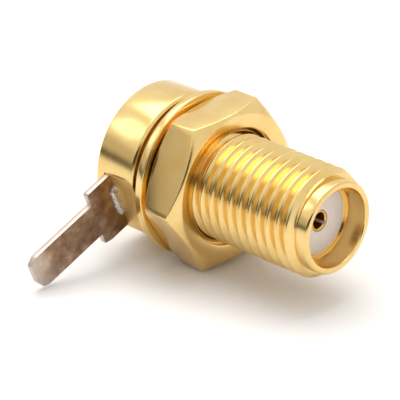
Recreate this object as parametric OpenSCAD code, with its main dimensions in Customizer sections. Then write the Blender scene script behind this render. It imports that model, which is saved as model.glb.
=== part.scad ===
// SMA bulkhead jack with its panel nut, washer and a soldered ground tab.
// Units: mm. Frame: origin on the axis in the plane of the body's front
// shoulder, where the panel seats. +X runs to the mating end, +Z is up as the
// part lies on a bench, and the ground tab points to -Y and slightly down.

/* [Body shell] */
// outside diameter of the rear body
body_d = 8.9; // [8.6:0.1:9.4]
// length of the rear body behind the shoulder
body_len = 3.0; // [2.8:0.1:5]
// chamfer on the rear body's front edge
body_c = 0.15; // [0.05:0.05:0.3]
// depth of the rounding on the rear body's back edge
body_rc = 0.25; // [0.1:0.05:0.4]
// major diameter of the 1/4-36 thread
thread_d = 6.35; // [6.3:0.01:6.4]
// where the full thread ends, measured from the shoulder
thread_end = 10.65; // [9:0.05:13]
// diameter at the small end of the lead chamfer
lead_d = 5.86; // [5.6:0.02:6]
// diameter of the plain nose in front of the thread
nose_d = 5.4; // [5.2:0.05:5.6]
// length of the plain nose
nose_len = 0.75; // [0.5:0.05:1.2]
// width of the undercut between the thread and the shoulder
relief_w = 0.6; // [0.3:0.05:0.65]
// diameter of the undercut
relief_d = 5.4; // [5.2:0.05:5.6]

/* [Socket] */
// bore that takes the outer conductor of the plug
socket_d = 4.6; // [4.5:0.02:4.7]
// depth of that bore from the front face
socket_depth = 1.35; // [1:0.05:2]
// diameter of the dielectric
dielectric_d = 4.0; // [3.8:0.05:4.2]
// outside diameter of the centre contact
contact_d = 1.27; // [1.2:0.01:1.35]
// bore of the contact, which takes a 0.91 mm pin
contact_bore = 0.94; // [0.9:0.01:1]
// depth of the contact's bore
contact_depth = 3.2; // [2.5:0.1:4]
// width of the slot across the contact
slot_w = 0.16; // [0.1:0.02:0.24]
// length of the solder tail behind the body
tail_len = 2.0; // [1:0.1:3]

/* [Flat and ground tab] */
// how far the tab points below the horizontal, in degrees
tab_down = 20.7; // [0:0.1:45]
// distance of the milled flat from the axis
flat_a = 3.95; // [3.8:0.05:4.2]
// where the flat stops, behind the shoulder
flat_back = 2.2; // [1.5:0.05:2.6]
// thickness of the tab
tab_t = 0.4; // [0.3:0.05:0.6]
// width of the tab's head
head_w = 3.9; // [3:0.1:4.2]
// length of the head outward from the flat
head_len = 1.9; // [1:0.1:2.5]
// width of the strip beyond the head
strip_w = 2.24; // [1.6:0.02:2.6]
// distance of the tab's tip from the axis
tab_reach = 11.0; // [9:0.1:14]
// radius of the solder fillet in front of the tab
bead_r = 0.42; // [0.2:0.02:0.6]

/* [Nut and washer] */
// nut size across flats
nut_af = 9.0; // [8:0.1:9.5]
// overall thickness of the nut
nut_t = 2.62; // [2:0.02:3.2]
// diameter of the flat ring left on each face by the chamfer
nut_face_d = 8.68; // [7.6:0.02:8.9]
// diameter of the countersink at each face
nut_sink_d = 7.04; // [6.6:0.02:7.2]
// back face of the nut, measured from the shoulder
nut_x = 1.31; // [1.25:0.01:4]
// running clearance of the nut on the thread, radial
nut_gap = 0.05; // [0.02:0.01:0.09]
// angle of one corner of the nut about +X, in degrees
nut_phase = 4; // [0:1:59]
// washer outside diameter
washer_d = 9.7; // [9:0.1:10.5]
// washer hole
washer_hole = 6.5; // [6.45:0.05:6.7]
// washer thickness
washer_t = 0.5; // [0.4:0.02:0.54]
// back face of the washer, measured from the shoulder
washer_x = 0.69; // [0.65:0.01:0.7]

/* [Hidden] */
$fn = 96;
eps = 0.01;
body_r = body_d / 2;
thread_r = thread_d / 2;
lead_x = thread_end + (thread_d - lead_d) / 2;
front_x = lead_x + nose_len;
floor_x = front_x - socket_depth;
nut_r = nut_af / 2 / cos(30);

// Turns a profile drawn as (distance along the axis, radius) about +X.
module turned(profile)
    rotate([90, 0, 90]) rotate_extrude()
        polygon([for (p = profile) [p[1], p[0]]]);

// Puts a shape drawn along +X outward, +Y across onto the tab's direction,
// with its own +Z along the connector's axis.
module along_tab()
    rotate([180 + tab_down, 0, 0]) rotate([90, 0, 90])
        children();

// One turned piece: rear body, undercut, threaded barrel, nose, through bore
// and socket, with the flat milled from the shoulder back to the tab.
module body_shell() color("gold") difference() {
    turned([
        [-body_len, dielectric_d / 2],
        [-body_len, body_r - body_rc],
        [-body_len + body_rc, body_r],
        [-body_c, body_r],
        [0, body_r - body_c],
        [0, relief_d / 2],
        [relief_w - (thread_d - relief_d) / 4, relief_d / 2],
        [relief_w, thread_r],
        [thread_end, thread_r],
        [lead_x, lead_d / 2],
        [lead_x, nose_d / 2],
        [front_x - 0.1, nose_d / 2],
        [front_x, nose_d / 2 - 0.1],
        [front_x, socket_d / 2 + 0.06],
        [front_x - 0.06, socket_d / 2],
        [floor_x, socket_d / 2],
        [floor_x, dielectric_d / 2]
    ]);
    along_tab() translate([flat_a, -body_r, -flat_back])
        cube([body_r, body_d, flat_back + eps]);
}

// Hexagon with a 30 degree turned chamfer and a countersink at both faces.
module hex_nut() color("gold") translate([nut_x, 0, 0]) {
    cone = (nut_r + 0.2 - nut_face_d / 2) * tan(30);
    sink = nut_sink_d / 2 - thread_r - nut_gap;
    difference() {
        intersection() {
            rotate([nut_phase, 0, 0]) rotate([90, 0, 90])
                cylinder(r = nut_r, h = nut_t, $fn = 6);
            turned([
                [0, 0],
                [0, nut_face_d / 2],
                [cone, nut_r + 0.2],
                [nut_t - cone, nut_r + 0.2],
                [nut_t, nut_face_d / 2],
                [nut_t, 0]
            ]);
        }
        turned([
            [-eps, 0],
            [-eps, nut_sink_d / 2 + eps],
            [sink, thread_r + nut_gap],
            [nut_t - sink, thread_r + nut_gap],
            [nut_t + eps, nut_sink_d / 2 + eps],
            [nut_t + eps, 0]
        ]);
    }
}

// Flat washer with its edges just broken.
module washer() color("gold") translate([washer_x, 0, 0]) {
    c = 0.06;
    turned([
        [0, washer_hole / 2 + c],
        [0, washer_d / 2 - c],
        [c, washer_d / 2],
        [washer_t - c, washer_d / 2],
        [washer_t, washer_d / 2 - c],
        [washer_t, washer_hole / 2 + c],
        [washer_t - c, washer_hole / 2],
        [c, washer_hole / 2]
    ]);
}

// Dielectric rod, bored for the contact.
module dielectric() color("white")
    turned([
        [-body_len, contact_d / 2],
        [-body_len, dielectric_d / 2],
        [floor_x, dielectric_d / 2],
        [floor_x, contact_d / 2]
    ]);

// Contact with a slotted spring socket in front and a solder cup behind.
module center_contact() color("gold") {
    r = contact_d / 2;
    back = -body_len - tail_len;
    tip = floor_x - 0.04;
    difference() {
        turned([
            [back, 0],
            [back, r - 0.08],
            [back + 0.08, r],
            [tip - 0.06, r],
            [tip, r - 0.06],
            [tip, contact_bore / 2 + 0.05],
            [tip - 0.05, contact_bore / 2],
            [tip - contact_depth, contact_bore / 2],
            [tip - contact_depth - 0.3, 0]
        ]);
        rotate([-34, 0, 0])
            translate([tip - contact_depth + 0.4, -r - eps, -slot_w / 2])
                cube([contact_depth, contact_d + 2 * eps, slot_w]);
        translate([back - eps, 0, 0]) rotate([0, 90, 0])
            cylinder(d = contact_bore - 0.08, h = 1.3);
        translate([back - eps, -r - eps, 0.12])
            cube([1.15, contact_d + 2 * eps, r]);
    }
}

// Flat lead with a wide head on the milled flat and a cut-off tip.
module ground_tab() color("rosybrown") along_tab()
    translate([0, 0, -flat_back]) linear_extrude(tab_t) {
        h = head_w / 2;
        s = strip_w / 2;
        a = flat_a + head_len;
        polygon([
            [flat_a, -h],
            [a - 0.1, -h],
            [a, -h + 0.1],
            [a, -s],
            [tab_reach - 0.5, -s],
            [tab_reach, -s + 0.32],
            [tab_reach, s - 0.7],
            [tab_reach - 0.3, s - 0.15],
            [tab_reach - 0.7, s],
            [a, s],
            [a, h - 0.14],
            [a - 0.5, h],
            [flat_a, h]
        ]);
    }

// Solder run along the corner between the flat and the tab's front face.
module solder_bead() color("silver") along_tab()
    translate([flat_a, 0, tab_t - flat_back]) intersection() {
        union() {
            translate([0, -0.75, 0]) rotate([-90, 0, 0])
                cylinder(r = bead_r, h = 1.29);
            translate([0, -0.75, 0]) sphere(r = bead_r);
            translate([0, 0.54, 0]) sphere(r = bead_r);
        }
        translate([0, -2, 0]) cube([1, 4, 1]);
    }

body_shell();
hex_nut();
washer();
dielectric();
center_contact();
ground_tab();
solder_bead();
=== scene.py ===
# Gold plated coaxial panel jack with its nut, washer and soldered ground tab.
# Blender 4.5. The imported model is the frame, and each visible piece is made
# in millimetres in that frame and then dressed.

import math

import bmesh
import bpy
from mathutils import Matrix, Vector, noise


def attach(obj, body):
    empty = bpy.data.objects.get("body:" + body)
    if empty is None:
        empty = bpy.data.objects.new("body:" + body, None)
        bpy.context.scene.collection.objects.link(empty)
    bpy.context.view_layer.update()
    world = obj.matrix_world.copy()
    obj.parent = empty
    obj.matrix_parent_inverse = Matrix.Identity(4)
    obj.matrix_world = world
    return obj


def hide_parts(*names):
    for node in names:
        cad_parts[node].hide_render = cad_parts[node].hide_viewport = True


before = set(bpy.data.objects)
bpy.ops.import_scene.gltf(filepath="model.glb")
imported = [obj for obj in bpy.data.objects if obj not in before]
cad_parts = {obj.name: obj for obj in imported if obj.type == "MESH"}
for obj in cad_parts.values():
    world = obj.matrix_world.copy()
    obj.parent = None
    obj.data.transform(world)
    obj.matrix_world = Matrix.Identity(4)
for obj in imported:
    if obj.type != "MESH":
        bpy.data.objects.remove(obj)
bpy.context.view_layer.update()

# ---------------------------------------------------------------- camera
# A long lens from the front left, a little above the part, turned by a
# fraction of a degree.
scene = bpy.context.scene
scene.view_settings.view_transform = "Standard"
mm = 0.001
aim = Vector((0.96, 0.13, -1.85)) * mm
azimuth, elevation, roll = math.radians(44.35), math.radians(25.98), math.radians(0.7)
distance = 144.4 * mm
camera_data = bpy.data.cameras.new("camera")
camera_data.lens = 225
camera_data.sensor_width = 36
camera_data.clip_start, camera_data.clip_end = 0.01, 20
camera = bpy.data.objects.new("camera", camera_data)
scene.collection.objects.link(camera)
back = Vector((
    math.sin(azimuth) * math.cos(elevation),
    -math.cos(azimuth) * math.cos(elevation),
    math.sin(elevation),
))
turn = (-back).to_track_quat("-Z", "Y").to_matrix() @ Matrix.Rotation(-roll, 3, "Z")
camera.matrix_world = Matrix.Translation(aim + back * distance) @ turn.to_4x4()
scene.camera = camera

# ------------------------------------------------------------ body shell
# One piece of brass bar, turned, threaded 1/4-36, milled flat on one side and
# gold plated. The barrel carries the real helical thread, cut back to a cone
# at the mating end and run out into the undercut at the shoulder.


def rounded(bm, outline, radius):
    """A chain of edges through the (x, radius) points, its corners rounded."""
    points = [bm.verts.new((x * mm, r * mm, 0)) for x, r in outline]
    for a, b in zip(points, points[1:]):
        bm.edges.new((a, b))
    bmesh.ops.bevel(
        bm, geom=points[1:-1], offset=radius * mm, offset_type="OFFSET",
        affect="VERTICES", segments=3, profile=0.5, material=-1, clamp_overlap=True,
    )


def turned(outline, radius=0.04, steps=120):
    """A new bmesh of the outline turned once round the X axis."""
    bm = bmesh.new()
    rounded(bm, outline, radius)
    bmesh.ops.spin(
        bm, geom=bm.verts[:] + bm.edges[:], cent=(0, 0, 0), axis=(1, 0, 0),
        angle=2 * math.pi, steps=steps, use_merge=True,
    )
    return bm


def move_radius(v, radius):
    """Moves a vertex straight in or out from the X axis to that radius."""
    k = radius / math.hypot(v.co.y, v.co.z)
    v.co.y *= k
    v.co.z *= k


def open_rim(bm, low, high):
    """The boundary edges whose middles lie between two distances on X."""
    return [
        e for e in bm.edges
        if e.is_boundary and low < (e.verts[0].co.x + e.verts[1].co.x) / 2 / mm < high
    ]


def piece_from(bm, name, body, *node_names):
    """Makes the bmesh an object that rides on a body and replaces CAD nodes."""
    bmesh.ops.recalc_face_normals(bm, faces=bm.faces[:])
    if bm.calc_volume(signed=True) < 0:
        bmesh.ops.reverse_faces(bm, faces=bm.faces[:])
    for f in bm.faces:
        f.smooth = True
    mesh = bpy.data.meshes.new(name)
    bm.to_mesh(mesh)
    bm.free()
    mesh.set_sharp_from_angle(angle=math.radians(32))
    made = bpy.data.objects.new(name, mesh)
    scene.collection.objects.link(made)
    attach(made, body)
    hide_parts(*node_names)
    return made


pitch = 25.4 / 36
turn_steps = 72
thread_r = 3.175
root_r = thread_r - 0.6134 * pitch
crest_at = 4.95 + pitch * 159.3 / 360
lead = (10.895, 2.93)
runout = (0.3625, 2.7)
turns = 18

# One pitch of the thread's profile, centred on a crest, starts behind the
# shoulder and is wound forward past the barrel's end.
start = crest_at - pitch * 9
barrel = bmesh.new()
rounded(barrel, [
    (start - pitch / 2, root_r),
    (start - pitch * 0.375, root_r),
    (start - pitch * 0.07, thread_r),
    (start + pitch * 0.07, thread_r),
    (start + pitch * 0.375, root_r),
    (start + pitch / 2, root_r),
], 0.05)
bmesh.ops.spin(
    barrel, geom=barrel.verts[:] + barrel.edges[:], cent=(0, 0, 0), axis=(1, 0, 0),
    dvec=(pitch * mm / turn_steps, 0, 0), angle=2 * math.pi * turns,
    steps=turn_steps * turns,
)
bmesh.ops.remove_doubles(barrel, verts=barrel.verts[:], dist=0.001 * mm)
rear_cut = runout[0] + (root_r - runout[1]) / 3
for x, clear_back, clear_front in ((rear_cut, True, False), (0.6, False, False),
                                   (10.65, False, False), (lead[0], False, True)):
    bmesh.ops.bisect_plane(
        barrel, geom=barrel.verts[:] + barrel.edges[:] + barrel.faces[:],
        dist=0.0005 * mm, plane_co=(x * mm, 0, 0), plane_no=(1, 0, 0),
        clear_inner=clear_back, clear_outer=clear_front,
    )
for v in barrel.verts:
    x = v.co.x / mm
    limit = min(lead[1] + lead[0] - x, runout[1] + 2 * (x - runout[0]))
    if math.hypot(v.co.y, v.co.z) > limit * mm:
        move_radius(v, limit * mm)

# Everything else on the shell is turned, from the undercut round the rear
# body, through the bore and out to the nose.
shell = turned([
    (rear_cut, runout[1]), (0, 2.7), (0, 4.3), (-0.15, 4.45), (-2.75, 4.45),
    (-3, 4.2), (-3, 2), (10.295, 2), (10.295, 2.3), (11.585, 2.3),
    (11.645, 2.36), (11.645, 2.6), (11.545, 2.7), (lead[0], 2.7),
])
shell_mesh = bpy.data.meshes.new("shell")
shell.to_mesh(shell_mesh)
shell.free()
barrel.from_mesh(shell_mesh)
for low, high in ((0, 1), (10.5, 11.2)):
    bmesh.ops.triangle_fill(barrel, use_beauty=True, edges=open_rim(barrel, low, high))
body_shell = piece_from(barrel, "jack_body", "jack", "body_shell")

def cut_away(made, name, low, high, turned_by):
    """Cuts a block between two corners (mm), turned round X, from an object."""
    block = bmesh.new()
    bmesh.ops.create_cube(block, size=1)
    bmesh.ops.scale(block, vec=(Vector(high) - Vector(low)) * mm, verts=block.verts[:])
    bmesh.ops.translate(
        block, vec=(Vector(high) + Vector(low)) / 2 * mm, verts=block.verts[:])
    block.transform(turned_by)
    block_mesh = bpy.data.meshes.new(name)
    block.to_mesh(block_mesh)
    block.free()
    cutter = bpy.data.objects.new(name, block_mesh)
    scene.collection.objects.link(cutter)
    cut = made.modifiers.new(name, "BOOLEAN")
    cut.operation = "DIFFERENCE"
    cut.solver = "EXACT"
    cut.object = cutter
    bpy.context.view_layer.update()
    made.data = bpy.data.meshes.new_from_object(
        made.evaluated_get(bpy.context.evaluated_depsgraph_get()))
    made.modifiers.clear()
    bpy.data.objects.remove(cutter)
    made.data.set_sharp_from_angle(angle=math.radians(32))


# The flat is milled from the shoulder back to the tab's rear face, square to
# the direction in which the tab points.
tab_down = math.radians(20.7)
outward = Matrix.Rotation(math.pi + tab_down, 4, "X")
flat_a, flat_back = 3.95, 2.2
cut_away(body_shell, "mill", (-flat_back, flat_a, -5), (1, flat_a + 3, 5), outward)


def linear(code):
    """A colour written as sRGB hex, in the linear light that shaders take."""
    parts = [int(code[i:i + 2], 16) / 255 for i in (1, 3, 5)]
    return [c / 12.92 if c <= 0.04045 else ((c + 0.055) / 1.055) ** 2.4
            for c in parts] + [1]


def node(tree, kind, inputs=None, **settings):
    """Adds a shader node. Inputs take a value or another node's output."""
    made = tree.nodes.new("ShaderNode" + kind)
    for name, value in settings.items():
        setattr(made, name, value)
    for name, value in (inputs or {}).items():
        if isinstance(value, bpy.types.NodeSocket):
            tree.links.new(value, made.inputs[name])
        else:
            made.inputs[name].default_value = value
    return made


def new_material(name):
    """A material with no nodes but its output, and its node tree."""
    made = bpy.data.materials.new(name)
    made.use_nodes = True
    made.node_tree.nodes.clear()
    return made, made.node_tree


def dress(tree, **inputs):
    """Ends a material with one principled shader with these inputs."""
    named = {name.replace("_", " "): value for name, value in inputs.items()}
    shader = node(tree, "BsdfPrincipled", named)
    node(tree, "OutputMaterial", {"Surface": shader.outputs["BSDF"]})


# Gold electroplate over brass: a warm, half-bright metal. Fine rings left by
# the lathe run round it, and the plate is a little uneven, so its reflections
# are soft and not quite regular. The milled flat is duller than turned faces.
def gold_plate(name, rough_low, rough_high):
    """Gold plate whose roughness wanders between two values."""
    made, tree = new_material(name)
    place = node(tree, "TexCoord").outputs["Object"]
    ring_place = node(tree, "Mapping", {"Vector": place, "Scale": (1, 0.04, 0.04)})
    rings = node(tree, "TexNoise", {
        "Vector": ring_place.outputs["Vector"], "Scale": 1 / (0.09 * mm), "Detail": 2.0})
    cloud = node(tree, "TexNoise", {"Vector": place, "Scale": 1 / (1.6 * mm), "Detail": 3.0})
    grain = node(tree, "TexNoise", {"Vector": place, "Scale": 1 / (0.07 * mm), "Detail": 2.0})
    tint = node(tree, "ValToRGB", {"Fac": cloud.outputs["Fac"]})
    tint.color_ramp.elements[0].position = 0.32
    tint.color_ramp.elements[0].color = linear("#E6C37C")
    tint.color_ramp.elements[1].position = 0.7
    tint.color_ramp.elements[1].color = linear("#EED08E")
    rough = node(tree, "MapRange", {
        "Value": grain.outputs["Fac"], "From Min": 0.3, "From Max": 0.7,
        "To Min": rough_low, "To Max": rough_high})
    ring_bump = node(tree, "Bump", {
        "Height": rings.outputs["Fac"], "Strength": 0.08, "Distance": 0.004 * mm})
    bump = node(tree, "Bump", {
        "Height": grain.outputs["Fac"], "Strength": 0.03, "Distance": 0.003 * mm,
        "Normal": ring_bump.outputs["Normal"]})
    dress(tree, Base_Color=tint.outputs["Color"], Metallic=1.0,
          Roughness=rough.outputs["Result"], Normal=bump.outputs["Normal"])
    return made


gold = gold_plate("turned_gold_plate", 0.17, 0.23)
body_shell.data.materials.append(gold)
body_shell.data.materials.append(gold_plate("milled_gold_plate", 0.45, 0.55))
facing_out = outward.to_3x3() @ Vector((0, 1, 0))
for face in body_shell.data.polygons:
    on_flat = abs(face.center.dot(facing_out) - flat_a * mm) < 0.01 * mm
    face.material_index = int(on_flat and face.normal.dot(facing_out) > 0.99)

# --------------------------------------------------------------- hex nut
# Panel nut cut from hexagon bar: both faces are turned to a 30 degree chamfer,
# which meets the flats in six arcs, and the thread is countersunk.
nut_back, nut_thick = 1.31, 2.62
across_flats, face_r, sink_r, bore_r = 9.0, 4.34, 3.52, 3.225
phase = math.radians(4)
sink = sink_r - bore_r
nut = bmesh.new()
outline = [
    (0, face_r), (0.5, 5), (nut_thick - 0.5, 5), (nut_thick, face_r),
    (nut_thick, sink_r), (nut_thick - sink, bore_r), (sink, bore_r), (0, sink_r),
]
ring = [nut.verts.new((x * mm, r * mm, 0)) for x, r in outline]
for a, b in zip(ring, ring[1:] + ring[:1]):
    nut.edges.new((a, b))
bmesh.ops.rotate(nut, cent=(0, 0, 0), matrix=Matrix.Rotation(phase, 3, "X"), verts=ring)
bmesh.ops.spin(
    nut, geom=nut.verts[:] + nut.edges[:], cent=(0, 0, 0), axis=(1, 0, 0),
    angle=2 * math.pi, steps=120, use_merge=True,
)
sixth = math.pi / 3
for v in nut.verts:
    if math.hypot(v.co.y, v.co.z) > 4.7 * mm:
        away = (math.atan2(v.co.z, v.co.y) - phase) % sixth - sixth / 2
        hex_r = across_flats / 2 / math.cos(away)
        move_radius(v, hex_r * mm)
        rise = (hex_r - face_r) * math.tan(math.radians(30))
        v.co.x = (rise if v.co.x < nut_thick * mm / 2 else nut_thick - rise) * mm
bmesh.ops.translate(nut, vec=(nut_back * mm, 0, 0), verts=nut.verts[:])
bmesh.ops.recalc_face_normals(nut, faces=nut.faces[:])
edges = [e for e in nut.edges if e.calc_face_angle(0) > math.radians(14)]
bmesh.ops.bevel(
    nut, geom=edges, offset=0.05 * mm, offset_type="OFFSET", affect="EDGES",
    segments=2, profile=0.5, material=-1, clamp_overlap=True,
)
panel_nut = piece_from(nut, "panel_nut", "nut", "hex_nut")
panel_nut.data.materials.append(gold)

# ---------------------------------------------------------------- washer
# Flat washer punched from sheet and plated, its edges just broken.
washer_bm = turned([
    (0.69, 4.0), (0.69, 3.25), (1.19, 3.25), (1.19, 4.85), (0.69, 4.85), (0.69, 4.0),
], 0.07)
bmesh.ops.remove_doubles(washer_bm, verts=washer_bm.verts[:], dist=0.001 * mm)
flat_washer = piece_from(washer_bm, "flat_washer", "washer", "washer")
flat_washer.data.materials.append(gold)

# ------------------------------------------------------------ dielectric
# White rod that fills the shell's bore round the contact, cut flush.
rod = turned([
    (5, 0.645), (10.295, 0.645), (10.295, 1.99), (-2.99, 1.99), (-2.99, 0.645), (5, 0.645),
], 0.03)
bmesh.ops.remove_doubles(rod, verts=rod.verts[:], dist=0.001 * mm)
insulator = piece_from(rod, "dielectric_rod", "jack", "dielectric")
ptfe, tree = new_material("machined_ptfe")
place = node(tree, "TexCoord").outputs["Object"]
cloud = node(tree, "TexNoise", {"Vector": place, "Scale": 1 / (0.5 * mm), "Detail": 3.0})
tint = node(tree, "ValToRGB", {"Fac": cloud.outputs["Fac"]})
tint.color_ramp.elements[0].color = linear("#E6DAD2")
tint.color_ramp.elements[1].color = linear("#F2EAE4")
bump = node(tree, "Bump", {
    "Height": cloud.outputs["Fac"], "Strength": 0.2, "Distance": 0.01 * mm})
dress(tree, Base_Color=tint.outputs["Color"], Roughness=0.45, IOR=1.35,
      Subsurface_Weight=0.2, Subsurface_Radius=(1.0, 0.9, 0.8),
      Subsurface_Scale=0.3 * mm, Normal=bump.outputs["Normal"])
insulator.data.materials.append(ptfe)

# -------------------------------------------------------- centre contact
# Spring socket turned from beryllium copper and gold plated: the front is
# bored and slotted, and the tail behind the body has a half-open solder cup.
tip, tail = 10.255, -5.0
pin = turned([
    (tip - 3.5, 0.002), (tip - 3.2, 0.47), (tip - 0.05, 0.47), (tip, 0.52), (tip, 0.575),
    (tip - 0.06, 0.635), (tail + 0.08, 0.635), (tail, 0.555), (tail, 0.43),
    (tail + 1.3, 0.43), (tail + 1.3, 0.002),
], 0.015, 48)
bmesh.ops.holes_fill(pin, edges=[e for e in pin.edges if e.is_boundary])
contact = piece_from(pin, "spring_contact", "jack", "center_contact")
slot_turn = Matrix.Rotation(math.radians(-34), 4, "X")
cut_away(contact, "slot", (tip - 2.8, -0.7, -0.08), (tip + 0.1, 0.7, 0.08), slot_turn)
cut_away(contact, "cup", (tail - 0.1, -0.7, 0.12), (tail + 1.15, 0.7, 0.8), Matrix())
contact_gold, tree = new_material("contact_gold")
place = node(tree, "TexCoord").outputs["Object"]
cloud = node(tree, "TexNoise", {"Vector": place, "Scale": 1 / (0.3 * mm), "Detail": 3.0})
tint = node(tree, "ValToRGB", {"Fac": cloud.outputs["Fac"]})
tint.color_ramp.elements[0].color = linear("#D9A94E")
tint.color_ramp.elements[1].color = linear("#E8C476")
dress(tree, Base_Color=tint.outputs["Color"], Metallic=1.0, Roughness=0.25)
contact.data.materials.append(contact_gold)

# ------------------------------------------------------------ ground tab
# Lead stamped from thin strip: a wide head stands on the flat, the narrow
# strip runs out from it, and the tip is cut off at its corners.
tab_thick, head_w, head_len, strip_w, reach = 0.4, 3.9, 1.9, 2.24, 11.0
h, s, shoulder = head_w / 2, strip_w / 2, flat_a + head_len
tab = bmesh.new()
outline = [
    (flat_a, -h), (shoulder - 0.1, -h), (shoulder, -h + 0.1), (shoulder, -s),
    (reach - 0.5, -s), (reach, -s + 0.32), (reach, s - 0.7), (reach - 0.3, s - 0.15),
    (reach - 0.7, s), (shoulder, s), (shoulder, h - 0.14), (shoulder - 0.5, h), (flat_a, h),
]
sheet_face = tab.faces.new([tab.verts.new(Vector((-flat_back, a, b)) * mm) for a, b in outline])
grown = bmesh.ops.extrude_face_region(tab, geom=[sheet_face])
bmesh.ops.translate(
    tab, vec=(tab_thick * mm, 0, 0),
    verts=[v for v in grown["geom"] if isinstance(v, bmesh.types.BMVert)])
bmesh.ops.recalc_face_normals(tab, faces=tab.faces[:])
bmesh.ops.bevel(
    tab, geom=[e for e in tab.edges if e.calc_face_angle(0) > math.radians(10)],
    offset=0.05 * mm, offset_type="OFFSET", affect="EDGES", segments=2, profile=0.5,
    material=-1, clamp_overlap=True,
)
tab.transform(outward)
ground_tab = piece_from(tab, "ground_tab_strip", "jack", "ground_tab")

# Tinned strip that has gone brown: mottled on the faces, with the tin still
# grey and bright at the tip and along the cut edges.
tarnish, tree = new_material("tarnished_tin")
place = node(tree, "TexCoord").outputs["Object"]
blotch = node(tree, "TexNoise", {
    "Vector": place, "Scale": 1 / (1.1 * mm), "Detail": 6.0, "Roughness": 0.65})
tint = node(tree, "ValToRGB", {"Fac": blotch.outputs["Fac"]})
tint.color_ramp.elements[0].position = 0.3
tint.color_ramp.elements[0].color = linear("#705744")
tint.color_ramp.elements[1].position = 0.68
tint.color_ramp.elements[1].color = linear("#C8AB92")
middle = tint.color_ramp.elements.new(0.5)
middle.color = linear("#9C7E67")
along = node(tree, "VectorMath", {0: place, 1: facing_out}, operation="DOT_PRODUCT")
bare_tip = node(tree, "MapRange", {
    "Value": along.outputs["Value"], "From Min": 9.4 * mm, "From Max": 11.2 * mm,
    "To Max": 0.8})
side = node(tree, "SeparateXYZ", {"Vector": node(tree, "TexCoord").outputs["Normal"]})
facing = node(tree, "Math", {0: side.outputs["X"]}, operation="ABSOLUTE")
bare_edge = node(tree, "MapRange", {
    "Value": facing.outputs["Value"], "From Min": 0.5, "From Max": 0.1, "To Max": 0.75})
bare = node(tree, "Math", {0: bare_tip.outputs["Result"], 1: bare_edge.outputs["Result"]},
            operation="MAXIMUM")
skin = node(tree, "Mix", {
    "Factor": bare.outputs["Value"], 6: tint.outputs["Color"], 7: linear("#D2C8BE")},
    data_type="RGBA")
fine = node(tree, "TexNoise", {"Vector": place, "Scale": 1 / (0.12 * mm), "Detail": 4.0})
bump = node(tree, "Bump", {
    "Height": fine.outputs["Fac"], "Strength": 0.5, "Distance": 0.01 * mm})
rough = node(tree, "MapRange", {
    "Value": blotch.outputs["Fac"], "To Min": 0.3, "To Max": 0.55})
dress(tree, Base_Color=skin.outputs[2], Metallic=1.0,
      Roughness=rough.outputs["Result"], Normal=bump.outputs["Normal"])
ground_tab.data.materials.append(tarnish)

# ----------------------------------------------------------- solder bead
# Solder run into the corner between the flat and the tab, dull and lumpy.
bead = bmesh.new()
bmesh.ops.create_icosphere(bead, subdivisions=5, radius=1)
for v in bead.verts:
    along = v.co.z
    v.co = Vector((v.co.x * 0.3, v.co.y * 0.42, along * 0.42))
    v.co.z += 0.645 * math.copysign(1, along) if abs(along) > 1e-6 else 0
    v.co *= 1 + 0.1 * noise.noise(v.co * 4)
    v.co = (v.co + Vector((0.4 - 2.2, flat_a, -0.105))) * mm
for co, no in (((0.38 - 2.2, 0, 0), (1, 0, 0)), ((0, flat_a - 0.02, 0), (0, 1, 0))):
    cut = bmesh.ops.bisect_plane(
        bead, geom=bead.verts[:] + bead.edges[:] + bead.faces[:], dist=0.0001 * mm,
        plane_co=Vector(co) * mm, plane_no=no, clear_inner=True)
    bmesh.ops.holes_fill(bead, edges=[e for e in bead.edges if e.is_boundary])
bead.transform(outward)
solder_bead = piece_from(bead, "solder_run", "jack", "solder_bead")
solder, tree = new_material("dull_solder")
place = node(tree, "TexCoord").outputs["Object"]
grain = node(tree, "TexNoise", {"Vector": place, "Scale": 1 / (0.14 * mm), "Detail": 5.0})
tint = node(tree, "ValToRGB", {"Fac": grain.outputs["Fac"]})
tint.color_ramp.elements[0].position = 0.3
tint.color_ramp.elements[0].color = linear("#9A8B80")
tint.color_ramp.elements[1].position = 0.65
tint.color_ramp.elements[1].color = linear("#EAE4DE")
bump = node(tree, "Bump", {
    "Height": grain.outputs["Fac"], "Strength": 0.6, "Distance": 0.03 * mm})
dress(tree, Base_Color=tint.outputs["Color"], Metallic=1.0, Roughness=0.35,
      Normal=bump.outputs["Normal"])
solder_bead.data.materials.append(solder)

# ------------------------------------------------------- floor and light
# White studio table that the washer's rim and the tab's tip rest on.
floor_bm = bmesh.new()
bmesh.ops.create_circle(floor_bm, cap_ends=True, radius=1.5, segments=64)
bmesh.ops.translate(floor_bm, vec=(0, 0, -4.93 * mm), verts=floor_bm.verts[:])
floor_mesh = bpy.data.meshes.new("table_top")
floor_bm.to_mesh(floor_mesh)
floor_bm.free()
table_top = bpy.data.objects.new("table_top", floor_mesh)
scene.collection.objects.link(table_top)
paint, tree = new_material("white_table")
dress(tree, Base_Color=linear("#F4F3F2"), Roughness=0.8)
table_top.data.materials.append(paint)

# The room is plain: its light falls off toward the horizon, and the camera,
# the metal and anything clear see it white.
world = bpy.data.worlds.new("studio")
scene.world = world
world.use_nodes = True
tree = world.node_tree
tree.nodes.clear()
direction = node(tree, "TexCoord").outputs["Generated"]
height = node(tree, "SeparateXYZ", {"Vector": direction}).outputs["Z"]
sky = node(tree, "ValToRGB", {"Fac": height})
sky.color_ramp.elements[0].position = 0.0
sky.color_ramp.elements[0].color = (0.4, 0.39, 0.37, 1)
sky.color_ramp.elements[1].position = 0.6
sky.color_ramp.elements[1].color = (0.9, 0.9, 0.9, 1)
rays = node(tree, "LightPath")
camera_or_glossy = node(tree, "Math", {
    0: rays.outputs["Is Camera Ray"], 1: rays.outputs["Is Glossy Ray"]}, operation="MAXIMUM")
seen_white = node(tree, "Math", {
    0: camera_or_glossy.outputs["Value"], 1: rays.outputs["Is Transmission Ray"]},
    operation="MAXIMUM")
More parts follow.
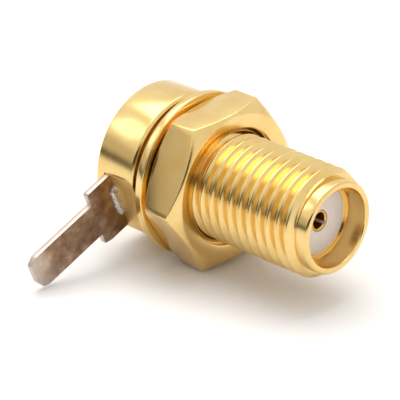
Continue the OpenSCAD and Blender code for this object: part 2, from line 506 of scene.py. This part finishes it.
lit = node(tree, "Background", {"Color": sky.outputs["Color"], "Strength": 1.0})
white = node(tree, "Background", {"Color": (1, 1, 1, 1), "Strength": 1.0})
seen = node(tree, "MixShader", {
    0: seen_white.outputs["Value"], 1: lit.outputs["Background"],
    2: white.outputs["Background"]})
node(tree, "OutputWorld", {"Surface": seen.outputs["Shader"]})


def facing_part(toward, distance_mm):
    """The place and turn of something in that direction that faces the part."""
    unit = Vector(toward).normalized()
    return (Matrix.Translation(unit * distance_mm * mm)
            @ unit.to_track_quat("Z", "Y").to_matrix().to_4x4())


def flag(name, toward, distance_mm, width_mm, height_mm, code):
    """A card of that colour, out of the picture, for the gold to reflect."""
    card_bm = bmesh.new()
    bmesh.ops.create_grid(card_bm, x_segments=1, y_segments=1, size=0.5)
    bmesh.ops.scale(
        card_bm, vec=Vector((width_mm, height_mm, 1)) * mm, verts=card_bm.verts[:])
    card_bm.transform(facing_part(toward, distance_mm))
    card_mesh = bpy.data.meshes.new(name)
    card_bm.to_mesh(card_mesh)
    card_bm.free()
    made = bpy.data.objects.new(name, card_mesh)
    scene.collection.objects.link(made)
    made.visible_camera = False
    made.visible_shadow = False
    made.visible_diffuse = False
    felt, tree = new_material(name + "_felt")
    dress(tree, Base_Color=linear(code), Roughness=1.0)
    card_mesh.materials.append(felt)


flag("black_card", (0.62, -0.77, 0.18), 500, 820, 280, "#1E1B18")
flag("grey_card", (-0.63, -0.74, 0.2), 500, 620, 210, "#E2DCD4")
flag("low_strip", (-0.62, -0.78, 0.07), 480, 600, 75, "#3A352E")


def softbox(name, toward, distance_mm, size_mm, watts):
    """A square area lamp in that direction from the part, facing it."""
    lamp = bpy.data.lights.new(name, "AREA")
    lamp.size = size_mm * mm
    lamp.energy = watts
    made = bpy.data.objects.new(name, lamp)
    scene.collection.objects.link(made)
    made.matrix_world = facing_part(toward, distance_mm)


softbox("key", (-0.63, -0.44, 0.64), 300, 100, 0.045)
softbox("overhead", (-0.2, 0.15, 1), 300, 280, 0.62)
